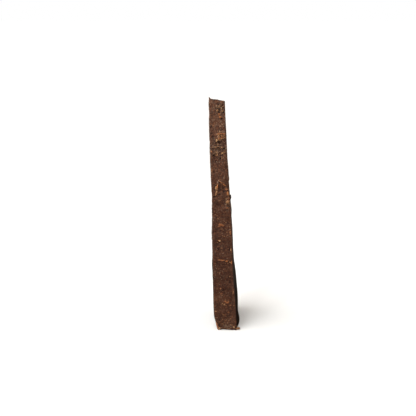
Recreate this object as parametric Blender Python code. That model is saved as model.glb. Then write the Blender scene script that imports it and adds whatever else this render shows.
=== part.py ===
"""A shard of dark chocolate bark with chopped roasted nuts, standing on its broad broken end.

The shard was snapped from a poured sheet. Its two broad faces are the sheet's own faces, left (-X)
and right (+X). Every other side is a break: the long front edge (-Y), the slanting back edge (+Y),
the narrow top and the foot that it stands on. Chips of nut stand proud of the breaks.
"""

import math
import random

import bmesh
import bpy
import numpy as np
from mathutils import Matrix, Vector, noise

UNIT = 0.001  # lengths below are in millimetres, the scene is in metres

# Height above the floor, then where the left and the right face stand along the front edge.
FACES = (
    (0, -5.55, 4.4),
    (28, -6.4, 2.4),
    (54, -6.7, 1.5),
    (65, -7.1, 0.45),
    (84, -7.9, -0.55),
    (102, -8.1, -1.45),
)
# Height above the floor, then the depth of the shard from its front edge to its back edge.
DEPTHS = (
    (0, 27.5),
    (7, 33.0),
    (25, 30.5),
    (42, 24.5),
    (55, 20.5),
    (76, 13.0),
    (86, 11.5),
    (102, 8.5),
)
FACE_BEND = 6.0  # the runs between those heights are rounded off over this much each way
BREAK_BEND = 2.5
BEND_SAMPLES = 7

HEIGHT = 102.6  # floor to the top of the front edge, at its left
TOP_FALL_RIGHT = 0.55  # the top falls evenly to the right by this much
TOP_ROLL_RIGHT = 0.6  # and rolls over towards the right face by this much more
TOP_FALL_BACK = 0.45  # it falls by this much for each unit of depth
LEFT_LIP = 0.65  # the left corner of the top stands up by this much
LEFT_LIP_WIDTH = 0.14  # over this share of the thickness
RIGHT_LIP = 0.35
RIGHT_LIP_WIDTH = 0.06
LIP_DEPTH = 6.0
TOP_RIPPLE = 0.3
TOP_THICKNESS = 7.0

TWIST_FOOT_RIGHT = 0.050  # the right face leans right at the foot, for each unit of depth
TWIST_FOOT_LEFT = 0.020  # the left face leans the same way by less
TWIST_TOP = 0.008
TWIST_HEIGHT = 70.0  # the lean of the foot dies out up to this height

RIM = 0.55  # radius of the worn rims between the broad faces and the breaks
FOOT_RIM = 0.1  # the foot is worn back by this much all round
FOOT_RIM_HEIGHT = 0.8

CORNER_LOSS = 1.45  # the left front corner of the foot is broken off by this much
CORNER_HEIGHT = 6.5
CORNER_DEPTH = 18.0

FLARE = 1.0  # the right face of the foot spreads by this much
FLARE_HEIGHT = 5.0
FLARE_DEPTH = 13.0  # most of all at this depth, and not at all this much before and behind it

UNDERCUT = 0.25  # the front of the foot is clear of the floor by this much
UNDERCUT_DEPTH = 2.6
UNDERCUT_FROM = 0.24  # between these shares of the thickness
UNDERCUT_TO = 0.86
UNDERCUT_BLEND = 0.08

# Relief of the breaks: height of the waves and how long they are.
STEP_RELIEF, STEP_LENGTH = 0.42, 12.0
CRUMB_RELIEF, CRUMB_LENGTH = 0.22, 3.4
# The broad faces swell a little, as the sheet was poured and spread: the left face, which lay on
# film, more than the right one, which was open to the air.
SWELL_RELIEF, SWELL_LENGTH = 0.42, 17.0
RIPPLE_RELIEF, RIPPLE_LENGTH = 0.14, 7.0
AIR_SIDE_SHARE = 0.4
STRAIGHT_DEPTH = 12.0  # within this depth of the front edge they lie flatter
STRAIGHT_SHARE = 0.65  # by this share
# The waves of each side are read this far apart, so that no two sides are alike.
FRONT_WAVES, BACK_WAVES, TOP_WAVES, BROAD_WAVES = 0.0, 60.0, 40.0, 30.0

# Hollows in the front break: place across, height, half width, half height, depth.
FRONT_SCARS = (
    (-2.0, 96.9, 0.7, 0.8, 0.6),
    (-2.8, 94.0, 0.9, 0.6, 0.5),
    (-4.0, 83.7, 1.1, 0.7, 0.6),
    (-6.3, 83.6, 0.9, 0.9, 0.4),
    (-4.2, 81.2, 1.1, 0.9, 0.5),
    (-6.0, 78.1, 1.1, 0.8, 0.5),
    (-3.2, 77.2, 1.0, 0.7, 0.45),
    (-2.8, 64.0, 2.2, 2.9, 0.75),  # the shell-shaped scar beside the lifted flake
    (-5.4, 60.3, 1.1, 0.7, 0.4),
    (0.1, 56.7, 1.3, 1.1, 0.65),  # under the knob of nut at the right rim
    (0.5, 31.2, 0.9, 0.6, 0.35),
    (-3.4, 2.2, 0.7, 1.8, 0.35),
)
# Hollows in the back break, measured the same way.
BACK_SCARS = (
    (-1.0, 26.0, 4.5, 9.0, 1.3),
    (-3.4, 47.0, 3.6, 6.0, 0.9),
    (-5.6, 69.0, 3.4, 7.5, 1.0),
    (-3.2, 86.0, 3.0, 4.5, 0.7),
)

# Chips of nut in the front break: place across, height, half width, half height, turn in degrees
# and how far the chip stands out.
FRONT_CHIPS = (
    (-4.1, 99.4, 0.8, 0.3, -20, 0.2),
    (-4.6, 97.7, 0.7, 0.4, 5, 0.25),
    (-4.0, 95.9, 0.7, 0.5, 0, 0.35),
    (-3.5, 94.7, 0.7, 0.4, -5, 0.3),
    (-6.4, 91.1, 0.3, 0.3, 0, 0.2),
    (-3.0, 87.7, 0.9, 0.4, 8, 0.3),  # the patch of nut near the top, nine chips
    (-4.6, 87.5, 0.5, 0.4, 20, 0.25),
    (-1.7, 87.5, 0.6, 0.4, -10, 0.25),
    (-3.9, 86.4, 0.5, 0.4, 0, 0.25),
    (-2.6, 86.3, 0.6, 0.3, 30, 0.25),
    (-1.5, 86.1, 0.5, 0.3, -15, 0.25),
    (-2.7, 85.6, 0.6, 0.3, 0, 0.25),
    (-3.8, 85.3, 0.8, 0.35, 5, 0.3),
    (-4.8, 84.8, 0.3, 0.6, -8, 0.35),
    (-7.0, 80.2, 0.4, 0.4, 0, 0.3),
    (-2.4, 79.3, 0.5, 0.35, 0, 0.3),
    (-4.5, 78.6, 0.3, 0.9, 20, 0.25),
    (-2.2, 77.4, 0.6, 0.3, -35, 0.25),
    (-6.8, 72.0, 0.3, 1.0, -4, 0.2),
    (-2.7, 66.4, 1.0, 0.25, -30, 0.25),  # the ridge above the scar
    (-1.3, 65.5, 0.9, 0.35, -8, 0.3),
    (-4.85, 64.1, 0.75, 1.8, 7, 0.3),  # the lifted flake
    (-0.5, 63.5, 0.8, 0.4, 0, 0.3),
    (0.0, 61.8, 0.5, 0.85, 0, 0.35),
    (0.4, 59.6, 0.5, 0.7, 10, 0.25),
    (-3.6, 58.6, 0.6, 0.3, 0, 0.2),
    (-0.1, 58.2, 0.95, 0.65, -12, 0.5),  # the knob at the right rim
    (-0.2, 55.5, 0.6, 0.35, 0, 0.25),
    (-2.9, 47.9, 1.4, 0.6, 16, 0.3),
    (-3.7, 47.2, 1.0, 0.5, 12, 0.25),
    (1.1, 44.3, 0.4, 0.9, 0, 0.25),
    (-3.9, 40.9, 0.3, 0.3, 0, 0.3),
    (-3.4, 40.7, 0.35, 0.4, 0, 0.35),
    (1.5, 36.8, 0.35, 0.7, 0, 0.25),
    (-2.6, 32.15, 1.9, 0.28, 2, 0.3),
    (-0.5, 31.7, 0.6, 0.45, 0, 0.3),
    (1.7, 31.2, 0.4, 1.0, 0, 0.25),
    (1.1, 24.6, 0.3, 0.4, 0, 0.2),
    (-3.0, 19.3, 0.4, 0.4, 0, 0.3),
    (2.6, 17.3, 0.35, 0.8, 0, 0.2),
    (-2.7, 16.9, 0.7, 0.25, 0, 0.2),
    (-0.7, 13.1, 0.8, 0.4, 45, 0.25),
    (0.2, 12.8, 0.8, 0.4, -25, 0.25),
    (-1.1, 11.7, 0.5, 0.3, 35, 0.25),
    (1.4, 11.4, 0.5, 0.35, 0, 0.15),
    (3.0, 11.3, 0.35, 0.6, 0, 0.2),
    (-5.1, 8.7, 0.4, 0.4, 0, 0.3),
    (0.5, 8.3, 0.5, 0.3, 0, 0.25),
    (-1.0, 7.3, 0.7, 0.25, 10, 0.2),
    (-4.2, 2.2, 0.3, 1.3, 22, 0.4),
    (3.0, 1.4, 0.4, 0.4, 0, 0.25),
    (4.8, 0.8, 0.9, 0.5, -8, 0.3),  # the toe at the right corner of the foot
    (-3.5, 0.6, 0.5, 0.7, 25, 0.7),  # the nut at its left corner
)
CHIP_SUNK = 0.3  # the middle of a chip is this far inside the break
CHIP_KNOCKS = (0.82, 1.12)

# Chips in the back break lie in clusters, one to each share of the height. A few lie on the top.
BACK_CLUSTERS = 10
CLUSTER_CHIPS = (2, 5)
CLUSTER_ACROSS = 0.18  # how far a cluster spreads, as a share of the thickness
CLUSTER_UP = 0.018  # and as a share of the height
CLUSTER_JITTER = (0.15, 0.85)
TOP_CHIP_COUNT = 4
TOP_CHIP_DEPTHS = (0.2, 0.8)  # shares of the depth
CHIP_MARGIN = 0.14  # chips keep this share of the thickness clear of the rims
CHIP_END_MARGIN = 0.02  # and this share of the height clear of the ends
CHIP_PROUD = 0.25
CHIP_HALF_WIDTHS = (0.35, 1.3)  # most are small
CHIP_SLIMNESS = (0.35, 0.8)  # half height over half width

# Low swellings of the broad faces over nuts just under them.
SWELLING_COUNT = 12
SWELLING_RADII = (1.8, 3.4)
SWELLING_STRETCHES = (0.6, 1.9)  # height over width
SWELLING_RISES = (0.08, 0.24)
SWELLING_DEPTHS = (0.15, 0.72)  # shares of the depth
SWELLING_HEIGHTS = (8, 94)
SWELLING_UNEVENNESS, SWELLING_LENGTH = 0.3, 2.6

# The faces of the box that is shaped into the shard.
ACROSS_CELLS = 7
BACK_CELLS = 14
UP_CELLS = 78
RIM_CROWDING = 0.75  # cells are smaller towards the rims
END_CROWDING = 0.35  # and a little smaller towards the top and the foot

SEED = 11
CHOCOLATE, CHOCOLATE_ROUGHNESS = (0.091, 0.041, 0.025, 1.0), 0.6
NUT, NUT_ROUGHNESS = (0.36, 0.15, 0.055, 1.0), 0.55


def clear_scene():
    for thing in list(bpy.data.objects):
        bpy.data.objects.remove(thing)


def new_collection(name):
    collection = bpy.data.collections.new(name)
    bpy.context.scene.collection.children.link(collection)
    return collection


def new_material(name, colour, roughness):
    material = bpy.data.materials.new(name)
    material.use_nodes = True
    shader = material.node_tree.nodes["Principled BSDF"]
    shader.inputs["Base Color"].default_value = colour
    shader.inputs["Roughness"].default_value = roughness
    shader.inputs["Metallic"].default_value = 0.0
    return material


def between(height, stations, column, bend):
    """A column of the stations at a height, with the corners between its runs rounded off."""
    table = np.array(stations, float)
    nearby = height + np.linspace(-bend, bend, BEND_SAMPLES)
    return float(np.interp(nearby, table[:, 0], table[:, column]).mean())


def fade(distance, reach):
    """1 at no distance, down to 0 at the reach and past it, with no corner at either end."""
    share = min(max(distance / reach, 0.0), 1.0)
    return 1.0 - share * share * (3.0 - 2.0 * share)


def dome(distance):
    """A round dome: 1 in the middle and 0 from a distance of 1 on."""
    return (1.0 - distance * distance) ** 2 if distance < 1.0 else 0.0


def waves(place, length):
    """Smooth uneven waves between about -1 and 1."""
    return 2.0 * noise.noise(place / length)


def left_face(depth, height):
    """Where the left face stands, with the corner that broke off at the foot."""
    loss = CORNER_LOSS * max(1.0 - height / CORNER_HEIGHT, 0.0) * max(1.0 - depth / CORNER_DEPTH, 0.0)
    return between(height, FACES, 1, FACE_BEND) + loss


def right_face(depth, height):
    """Where the right face stands, with the spread foot."""
    flare = FLARE * fade(height, FLARE_HEIGHT) * dome(abs(depth / FLARE_DEPTH - 1.0))
    return between(height, FACES, 2, FACE_BEND) + flare


def twist(across, height):
    """How far the shard leans to the right for each unit of depth."""
    foot = TWIST_FOOT_LEFT + across * (TWIST_FOOT_RIGHT - TWIST_FOOT_LEFT)
    return TWIST_TOP + (foot - TWIST_TOP) * fade(height, TWIST_HEIGHT)


def top_height(across, depth):
    """Height of the top break: it falls to the right and to the back, between two lips."""
    lips = LEFT_LIP * fade(across, LEFT_LIP_WIDTH) + RIGHT_LIP * fade(1.0 - across, RIGHT_LIP_WIDTH)
    ripple = TOP_RIPPLE * waves(Vector((across * TOP_THICKNESS, depth, TOP_WAVES)), CRUMB_LENGTH)
    fall = TOP_FALL_RIGHT * across + TOP_ROLL_RIGHT * across**3 + TOP_FALL_BACK * depth
    return HEIGHT - fall + lips * fade(depth, LIP_DEPTH) + ripple * (1.0 - fade(depth, LIP_DEPTH))


def foot_height(across, depth):
    """Height of the foot: on the floor, but for the undercut along the front."""
    outside = max(UNDERCUT_FROM - across, across - UNDERCUT_TO)
    return UNDERCUT * fade(outside, UNDERCUT_BLEND) * fade(depth, UNDERCUT_DEPTH)


def scar_depth(x, height, scars):
    """Depth of the hollows of a break at one place."""
    return sum(
        depth * dome(math.hypot((x - middle) / half_width, (height - level) / half_height))
        for middle, level, half_width, half_height, depth in scars
    )


def break_relief(x, height, front):
    """How far a break stands out: long steps, crumb, and the scars cut into them."""
    place = Vector((x, FRONT_WAVES if front else BACK_WAVES, height))
    relief = STEP_RELIEF * waves(place, STEP_LENGTH) + CRUMB_RELIEF * waves(place, CRUMB_LENGTH)
    return relief - scar_depth(x, height, FRONT_SCARS if front else BACK_SCARS)


def draw_swellings():
    """Where nuts lie under the broad faces: side, depth share, height, radius, stretch and rise."""
    draw = random.Random(SEED + 1)
    ranges = (SWELLING_DEPTHS, SWELLING_HEIGHTS, SWELLING_RADII, SWELLING_STRETCHES, SWELLING_RISES)
    return [(number % 2, *(draw.uniform(*span) for span in ranges)) for number in range(SWELLING_COUNT)]


def broad_relief(side, depth, height, swellings):
    """How far a broad face stands out: slow waves, and swellings over buried nuts."""
    place = Vector((side * BROAD_WAVES, depth, height))
    relief = SWELL_RELIEF * waves(place, SWELL_LENGTH) + RIPPLE_RELIEF * waves(place, RIPPLE_LENGTH)
    relief *= 1.0 - STRAIGHT_SHARE * fade(depth, STRAIGHT_DEPTH)
    relief *= AIR_SIDE_SHARE if side > 0 else 1.0
    full_depth = between(height, DEPTHS, 1, BREAK_BEND)
    uneven = 1.0 + SWELLING_UNEVENNESS * waves(place, SWELLING_LENGTH)
    for on_right, share, level, radius, stretch, rise in swellings:
        if on_right == (side > 0):
            gap = math.hypot(depth - share * full_depth, (height - level) / stretch)
            relief += rise * dome(uneven * gap / radius)
    return relief


def crowd(share, amount):
    """Moves evenly spaced shares towards 0 and 1."""
    return share - amount * math.sin(2.0 * math.pi * share) / (2.0 * math.pi)


def shard_point(across, back, up, swellings):
    """The place of a point of the box, given by its shares of thickness, depth and height."""
    full_depth = between(up * HEIGHT, DEPTHS, 1, BREAK_BEND)
    depth = back * full_depth
    low = foot_height(across, depth)
    height = low + up * (top_height(across, depth) - low)
    full_depth = between(height, DEPTHS, 1, BREAK_BEND)
    depth = back * full_depth
    left = left_face(depth, height)
    right = right_face(depth, height)
    x = left + across * (right - left)

    # Rounding of the rims: the square corner of the section becomes a quarter circle.
    side = -1 if across < 0.5 else 1
    end = -1 if back < 0.5 else 1
    to_face = min(across, 1.0 - across) * (right - left)
    to_break = min(back, 1.0 - back) * full_depth
    face_share = max(1.0 - to_face / RIM, 0.0)
    break_share = max(1.0 - to_break / RIM, 0.0)
    length = math.hypot(face_share, break_share)
    if length > 0.0:
        reach = max(face_share, break_share)
        face_way = face_share / length
        break_way = break_share / length
        broken = break_relief(x, height, end < 0)
        broad = broad_relief(side, depth, height, swellings)
        worn = FOOT_RIM * fade(height, FOOT_RIM_HEIGHT)
        out = broken * break_way**2 + broad * face_way**2 - worn
        x += side * (RIM * (face_way * reach - face_share) + face_way * reach * out)
        depth += end * (RIM * (break_way * reach - break_share) + break_way * reach * out)
    return Vector((x + twist(across, height) * depth, depth, height))


def box_of_grids(across_cells, back_cells, up_cells):
    """A closed box of square cells from 0 to 1: six grids, joined along their rims."""
    mesh = bmesh.new()
    to_middle = Matrix.Translation((0.0, 0.0, 0.5))
    turned_about_y = Matrix.Rotation(math.radians(90), 4, "Y")
    turned_about_x = Matrix.Rotation(math.radians(90), 4, "X")
    for turn, columns, rows in (
        (Matrix.Identity(4), across_cells, back_cells),
        (turned_about_y, up_cells, back_cells),
        (turned_about_x, across_cells, up_cells),
    ):
        for flip in (1.0, -1.0):
            place = turn @ to_middle if flip > 0 else turn @ Matrix.Translation((0.0, 0.0, -0.5))
            bmesh.ops.create_grid(mesh, x_segments=columns, y_segments=rows, size=0.5, matrix=place)
    bmesh.ops.remove_doubles(mesh, verts=mesh.verts, dist=1e-5)
    bmesh.ops.recalc_face_normals(mesh, faces=mesh.faces)
    bmesh.ops.translate(mesh, verts=mesh.verts, vec=(0.5, 0.5, 0.5))
    return mesh


def make_shard(name, collection, material):
    """The shard without its chips, its front edge at y = 0."""
    mesh = box_of_grids(ACROSS_CELLS, BACK_CELLS, UP_CELLS)
    swellings = draw_swellings()
    for vertex in mesh.verts:
        across = crowd(vertex.co.x, RIM_CROWDING)
        back = crowd(vertex.co.y, RIM_CROWDING)
        up = crowd(vertex.co.z, END_CROWDING)
        vertex.co = shard_point(across, back, up, swellings) * UNIT
    data = bpy.data.meshes.new(name)
    mesh.to_mesh(data)
    mesh.free()
    data.materials.append(material)
    shard = bpy.data.objects.new(name, data)
    collection.objects.link(shard)
    return shard


def make_chip(name, place, sizes, turn, draw, collection, material):
    """A chip of nut: a knocked-about icosahedron with three half sizes."""
    mesh = bmesh.new()
    bmesh.ops.create_icosphere(mesh, subdivisions=1, radius=1.0)
    for vertex in mesh.verts:
        vertex.co *= draw.uniform(*CHIP_KNOCKS)
    bmesh.ops.scale(mesh, verts=mesh.verts, vec=Vector(sizes) * UNIT)
    bmesh.ops.rotate(mesh, verts=mesh.verts, matrix=Matrix.Rotation(math.radians(turn), 3, "Y"))
    bmesh.ops.translate(mesh, verts=mesh.verts, vec=place * UNIT)
    data = bpy.data.meshes.new(name)
    mesh.to_mesh(data)
    mesh.free()
    data.materials.append(material)
    chip = bpy.data.objects.new(name, data)
    collection.objects.link(chip)


def inside(share, margin):
    """The share, kept this far from 0 and 1."""
    return min(max(share, margin), 1.0 - margin)


def chip_half_sizes(draw):
    """Half width and half height of a chip."""
    smallest, largest = CHIP_HALF_WIDTHS
    half_width = smallest + (largest - smallest) * draw.random() ** 2
    return half_width, half_width * draw.uniform(*CHIP_SLIMNESS)


def spread_chips():
    """Chips of the back and the top: the place, the three half sizes and the turn of each."""
    draw = random.Random(SEED + 2)
    half_thickness = CHIP_SUNK + CHIP_PROUD
    spread = []
    for number in range(BACK_CLUSTERS):
        level = (number + draw.uniform(*CLUSTER_JITTER)) / BACK_CLUSTERS
        middle = draw.uniform(CHIP_MARGIN, 1.0 - CHIP_MARGIN)
        for _ in range(draw.randint(*CLUSTER_CHIPS)):
            across = inside(draw.gauss(middle, CLUSTER_ACROSS), CHIP_MARGIN)
            up = inside(draw.gauss(level, CLUSTER_UP), CHIP_END_MARGIN)
            place = shard_point(across, 1.0, up, [])
            place.y -= CHIP_SUNK
            half_width, half_height = chip_half_sizes(draw)
            spread.append((place, (half_width, half_thickness, half_height), draw.uniform(-90, 90)))
    for number in range(TOP_CHIP_COUNT):
        across = CHIP_MARGIN + (1.0 - 2.0 * CHIP_MARGIN) * number / (TOP_CHIP_COUNT - 1)
        place = shard_point(across, draw.uniform(*TOP_CHIP_DEPTHS), 1.0, [])
        place.z -= CHIP_SUNK
        spread.append((place, (*chip_half_sizes(draw), half_thickness), 0))
    return spread


def make_chips(collection, material):
    """Chips on the front where they show, then the ones spread over the back and the top."""
    draw = random.Random(SEED)
    for number, (x, height, half_width, half_height, turn, proud) in enumerate(FRONT_CHIPS):
        place = Vector((x, CHIP_SUNK - break_relief(x, height, True), height))
        sizes = (half_width, CHIP_SUNK + proud, half_height)
        make_chip(f"front_chip_{number}", place, sizes, turn, draw, collection, material)
    for number, (place, sizes, turn) in enumerate(spread_chips()):
        make_chip(f"spread_chip_{number}", place, sizes, turn, draw, collection, material)


def fuse(shard, collection):
    """Joins everything in the collection to the shard and removes the loose pieces."""
    union = shard.modifiers.new("Chips", "BOOLEAN")
    union.operation = "UNION"
    union.solver = "MANIFOLD"
    union.operand_type = "COLLECTION"
    union.collection = collection
    union.material_mode = "TRANSFER"
    bpy.context.view_layer.update()
    evaluated = shard.evaluated_get(bpy.context.evaluated_depsgraph_get())
    joined = bpy.data.meshes.new_from_object(evaluated)
    shard.modifiers.remove(union)
    shard.data = joined
    for chip in list(collection.objects):
        bpy.data.objects.remove(chip)
    bpy.data.collections.remove(collection)


def centre_on_foot(shard):
    """Puts the origin on the floor under the middle of the shard."""
    xs = [vertex.co.x for vertex in shard.data.vertices]
    ys = [vertex.co.y for vertex in shard.data.vertices]
    middle = Vector(((min(xs) + max(xs)) / 2, (min(ys) + max(ys)) / 2, 0.0))
    shard.data.transform(Matrix.Translation(-middle))


clear_scene()
bark = new_collection("chocolate_bark")
chips = new_collection("nut_chips")
chocolate = new_material("dark_chocolate", CHOCOLATE, CHOCOLATE_ROUGHNESS)
nut = new_material("roasted_nut", NUT, NUT_ROUGHNESS)
slab = make_shard("bark_slab", bark, chocolate)
make_chips(chips, nut)
fuse(slab, chips)
centre_on_foot(slab)
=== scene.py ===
"""The looks of one upright shard of dark chocolate bark with chopped roasted nut."""

import math
import random

import bmesh
import bpy
import numpy as np
from mathutils import Matrix, Vector, noise


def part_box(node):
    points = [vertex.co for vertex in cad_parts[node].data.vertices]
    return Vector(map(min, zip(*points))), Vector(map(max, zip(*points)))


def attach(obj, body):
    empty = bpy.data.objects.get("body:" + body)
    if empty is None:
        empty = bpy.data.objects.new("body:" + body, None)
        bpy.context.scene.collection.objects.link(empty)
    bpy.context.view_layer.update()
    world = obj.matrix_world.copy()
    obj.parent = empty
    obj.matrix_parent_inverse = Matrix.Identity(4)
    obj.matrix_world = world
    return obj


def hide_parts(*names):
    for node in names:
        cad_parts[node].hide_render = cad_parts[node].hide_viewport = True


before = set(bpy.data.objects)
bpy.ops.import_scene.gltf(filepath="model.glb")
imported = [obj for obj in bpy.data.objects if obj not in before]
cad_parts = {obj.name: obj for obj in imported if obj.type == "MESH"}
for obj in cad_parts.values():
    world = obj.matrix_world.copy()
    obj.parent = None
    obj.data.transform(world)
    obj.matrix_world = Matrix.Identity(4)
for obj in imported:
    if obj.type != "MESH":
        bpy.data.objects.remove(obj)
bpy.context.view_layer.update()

# ---------------------------------------------------------------------------------------------
# The shard: dark chocolate, poured as a sheet about 8 mm thick on crinkled film, left to set and
# snapped by hand. The left and right faces are the sheet's own. Every other side is a break, matt
# and crumbly, with pits where crumbs fell out. Lengths are in millimetres, as in the solid.
MM = 0.001

# Height above the floor, then where the left and the right face stand along the front edge.
face_heights = (0, 28, 54, 65, 84, 102)
left_places = (-5.55, -6.4, -6.7, -7.1, -7.9, -8.1)
right_places = (4.4, 2.4, 1.5, 0.45, -0.55, -1.45)
# Height above the floor, then the depth from the front edge to the back edge.
depth_heights = (0, 7, 25, 42, 55, 76, 86, 102)
depths = (27.5, 33.0, 30.5, 24.5, 20.5, 13.0, 11.5, 8.5)

face_bend, depth_bend = 6.0, 2.5  # how far the bends between those heights are rounded off

lookup_heights = np.arange(-2.0, 108.0, 0.25)


def rounded_off(heights, values, bend):
    """The straight runs between the values, with their corners rounded off, at each lookup height."""
    nearby = lookup_heights[:, None] + np.linspace(-bend, bend, 7)[None, :]
    return np.interp(nearby, heights, values).mean(axis=1)


left_profile = rounded_off(face_heights, left_places, face_bend)
right_profile = rounded_off(face_heights, right_places, face_bend)
depth_profile = rounded_off(depth_heights, depths, depth_bend)


def at_height(profile, height):
    return float(np.interp(height, lookup_heights, profile))


def fade(distance, reach):
    """1 at no distance, down to 0 at the reach and past it, with no corner at either end."""
    share = min(max(distance / reach, 0.0), 1.0)
    return 1.0 - share * share * (3.0 - 2.0 * share)


def dome(distance):
    """A round dome: 1 in the middle and 0 from a distance of 1 on."""
    return (1.0 - distance * distance) ** 2 if distance < 1.0 else 0.0


def near(x, height, middle, level, half_width, half_height):
    """1 in the middle of an oval mark on a break, and 0 from its rim on."""
    return dome(math.hypot((x - middle) / half_width, (height - level) / half_height))


def waves(place, length):
    """Smooth uneven waves between about -1 and 1."""
    return 2.0 * noise.noise(place / length)


def lumps(place, size):
    """Round crumbs with sharp creases between them, from about -1 up."""
    return 5.0 * abs(noise.noise(place / size)) - 1.0


# The top, the twist, the worn rims, the foot and the waves of the sides are those of the solid.
shard_height = 102.6
top_fall_right, top_roll_right, top_fall_back = 0.55, 0.6, 0.45
left_lip, left_lip_width = 0.65, 0.14
right_lip, right_lip_width = 0.35, 0.06
lip_depth = 6.0
top_ripple = 0.3
top_thickness = 7.0
twist_foot_left, twist_foot_right, twist_top, twist_height = 0.020, 0.050, 0.008, 70.0
rim = 0.55
foot_rim, foot_rim_height = 0.1, 0.8
corner_loss, corner_height, corner_depth = 1.45, 6.5, 18.0
flare, flare_height, flare_depth = 1.0, 5.0, 13.0
undercut, undercut_depth, undercut_from, undercut_to, undercut_blend = 0.25, 2.6, 0.24, 0.86, 0.08
step_relief, step_length = 0.42, 12.0
crumb_relief, crumb_length = 0.22, 3.4
swell_relief, swell_length = 0.42, 17.0
ripple_relief, ripple_length = 0.14, 7.0
air_side_share = 0.4
straight_depth, straight_share = 12.0, 0.65
# Where in the noise each side takes its waves from, so that no two are alike.
front_waves, mark_waves, broad_waves, top_waves, back_waves = 0.0, 20.0, 30.0, 40.0, 60.0

# Hollows in the breaks: place across, height, half width, half height, depth.
front_scars = (
    (-2.0, 96.9, 0.7, 0.8, 0.6),
    (-2.8, 94.0, 0.9, 0.6, 0.5),
    (-4.0, 83.7, 1.1, 0.7, 0.6),
    (-6.3, 83.6, 0.9, 0.9, 0.3),
    (-4.2, 81.1, 1.1, 0.9, 0.4),
    (-6.0, 78.1, 1.1, 0.8, 0.5),
    (-3.2, 77.2, 1.0, 0.7, 0.45),
    (-2.8, 64.0, 2.2, 2.9, 0.5),
    (-5.4, 60.3, 1.1, 0.7, 0.4),
    (0.1, 56.7, 1.3, 1.1, 0.65),
    (0.5, 31.2, 0.9, 0.6, 0.35),
    (-3.4, 2.2, 0.7, 1.8, 0.35),
)
back_scars = (
    (-1.0, 26.0, 4.5, 9.0, 1.3),
    (-3.4, 47.0, 3.6, 6.0, 0.9),
    (-5.6, 69.0, 3.4, 7.5, 1.0),
    (-3.2, 86.0, 3.0, 4.5, 0.7),
)
# Where the breaks are crumbly: place across, height, half width, half height.
front_crumb = (
    (-3.6, 98.0, 3.2, 4.5),
    (-4.0, 81.5, 5.0, 6.0),
    (-2.8, 87.0, 3.0, 3.2),
    (0.0, 58.0, 2.2, 4.2),
    (-0.5, 0.5, 5.0, 4.0),
)
back_crumb = ((-1.0, 14.0, 5.0, 9.0), (-4.0, 60.0, 4.5, 8.0), (-5.0, 92.0, 4.5, 7.0))

# Small marks of the front break, as seen on the real shard. Pits: place across, height, half
# width, half height, depth.
front_pits = (
    (-5.7, 100.4, 0.5, 0.45, 0.2),
    (-4.1, 100.1, 0.5, 0.4, 0.2),
    (-3.4, 97.6, 0.45, 0.4, 0.12),
    (-1.9, 96.9, 0.5, 0.5, 0.4),
    (-2.8, 94.1, 0.6, 0.4, 0.3),
    (-2.9, 86.6, 0.5, 0.4, 0.3),
    (-2.3, 86.9, 0.45, 0.4, 0.3),
    (-6.3, 85.3, 0.5, 0.5, 0.3),
    (-6.4, 83.6, 0.6, 0.5, 0.22),
    (-3.7, 83.6, 0.5, 0.35, 0.08),
    (-5.0, 81.9, 0.7, 0.6, 0.18),
    (-4.4, 81.3, 0.5, 0.45, 0.22),
    (-3.7, 80.8, 0.45, 0.45, 0.2),
    (-6.0, 78.1, 0.6, 0.45, 0.5),
    (-3.2, 77.2, 0.5, 0.45, 0.35),
    (-2.1, 75.2, 0.4, 0.3, 0.2),
    (-6.4, 73.1, 0.3, 0.3, 0.2),
    (-3.8, 61.4, 0.6, 0.4, 0.25),
    (-5.4, 60.2, 0.9, 0.3, 0.12),
    (-0.7, 57.3, 0.5, 0.4, 0.4),
    (0.4, 56.1, 0.7, 0.5, 0.5),
    (0.5, 31.2, 0.7, 0.4, 0.3),
    (-3.5, 2.4, 0.3, 1.0, 0.25),
    (-2.0, 3.0, 0.3, 1.2, 0.25),
)
# Broken ridges of paler crumb: from one end, across and up, to the other, half width, height.
front_ridges = (
    (-5.0, 101.4, -2.0, 101.2, 0.35, 0.12),
    (-4.9, 99.7, -3.3, 99.0, 0.35, 0.2),
    (-6.7, 91.0, -5.2, 91.3, 0.4, 0.12),
    (-5.0, 87.6, -4.2, 87.5, 0.4, 0.2),
    (-3.5, 81.6, -2.8, 82.5, 0.35, 0.1),
    (-4.2, 79.6, -4.8, 77.8, 0.35, 0.2),
    (-2.6, 77.8, -1.7, 77.1, 0.35, 0.2),
    (-6.8, 73.4, -6.6, 70.8, 0.4, 0.15),
    (-4.1, 67.5, -2.9, 66.6, 0.3, 0.14),
    (-2.9, 66.6, -1.7, 65.8, 0.3, 0.14),
    (-1.7, 65.8, -0.9, 65.3, 0.3, 0.14),
    (-3.95, 67.4, -4.25, 65.8, 0.3, 0.14),
    (-4.2, 58.5, -3.1, 58.7, 0.35, 0.1),
    (-0.6, 57.9, -1.4, 56.8, 0.3, 0.15),
    (-4.1, 50.9, -3.1, 51.2, 0.3, 0.1),
    (-3.4, 45.5, -1.8, 45.9, 0.3, 0.1),
    (-1.8, 39.2, -0.8, 39.4, 0.3, 0.1),
    (-4.9, 32.0, -2.9, 32.1, 0.35, 0.15),
    (-2.9, 32.1, -1.0, 32.3, 0.4, 0.2),
    (-0.1, 32.6, 0.9, 33.1, 0.3, 0.12),
    (-5.3, 30.0, -5.4, 24.5, 0.35, 0.12),
    (-4.9, 22.5, -4.4, 22.7, 0.3, 0.1),
    (-3.6, 15.3, -3.1, 15.5, 0.3, 0.15),
    (-1.8, 14.5, -1.2, 14.7, 0.3, 0.15),
    (-1.6, 7.0, -0.4, 7.5, 0.35, 0.12),
)

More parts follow.
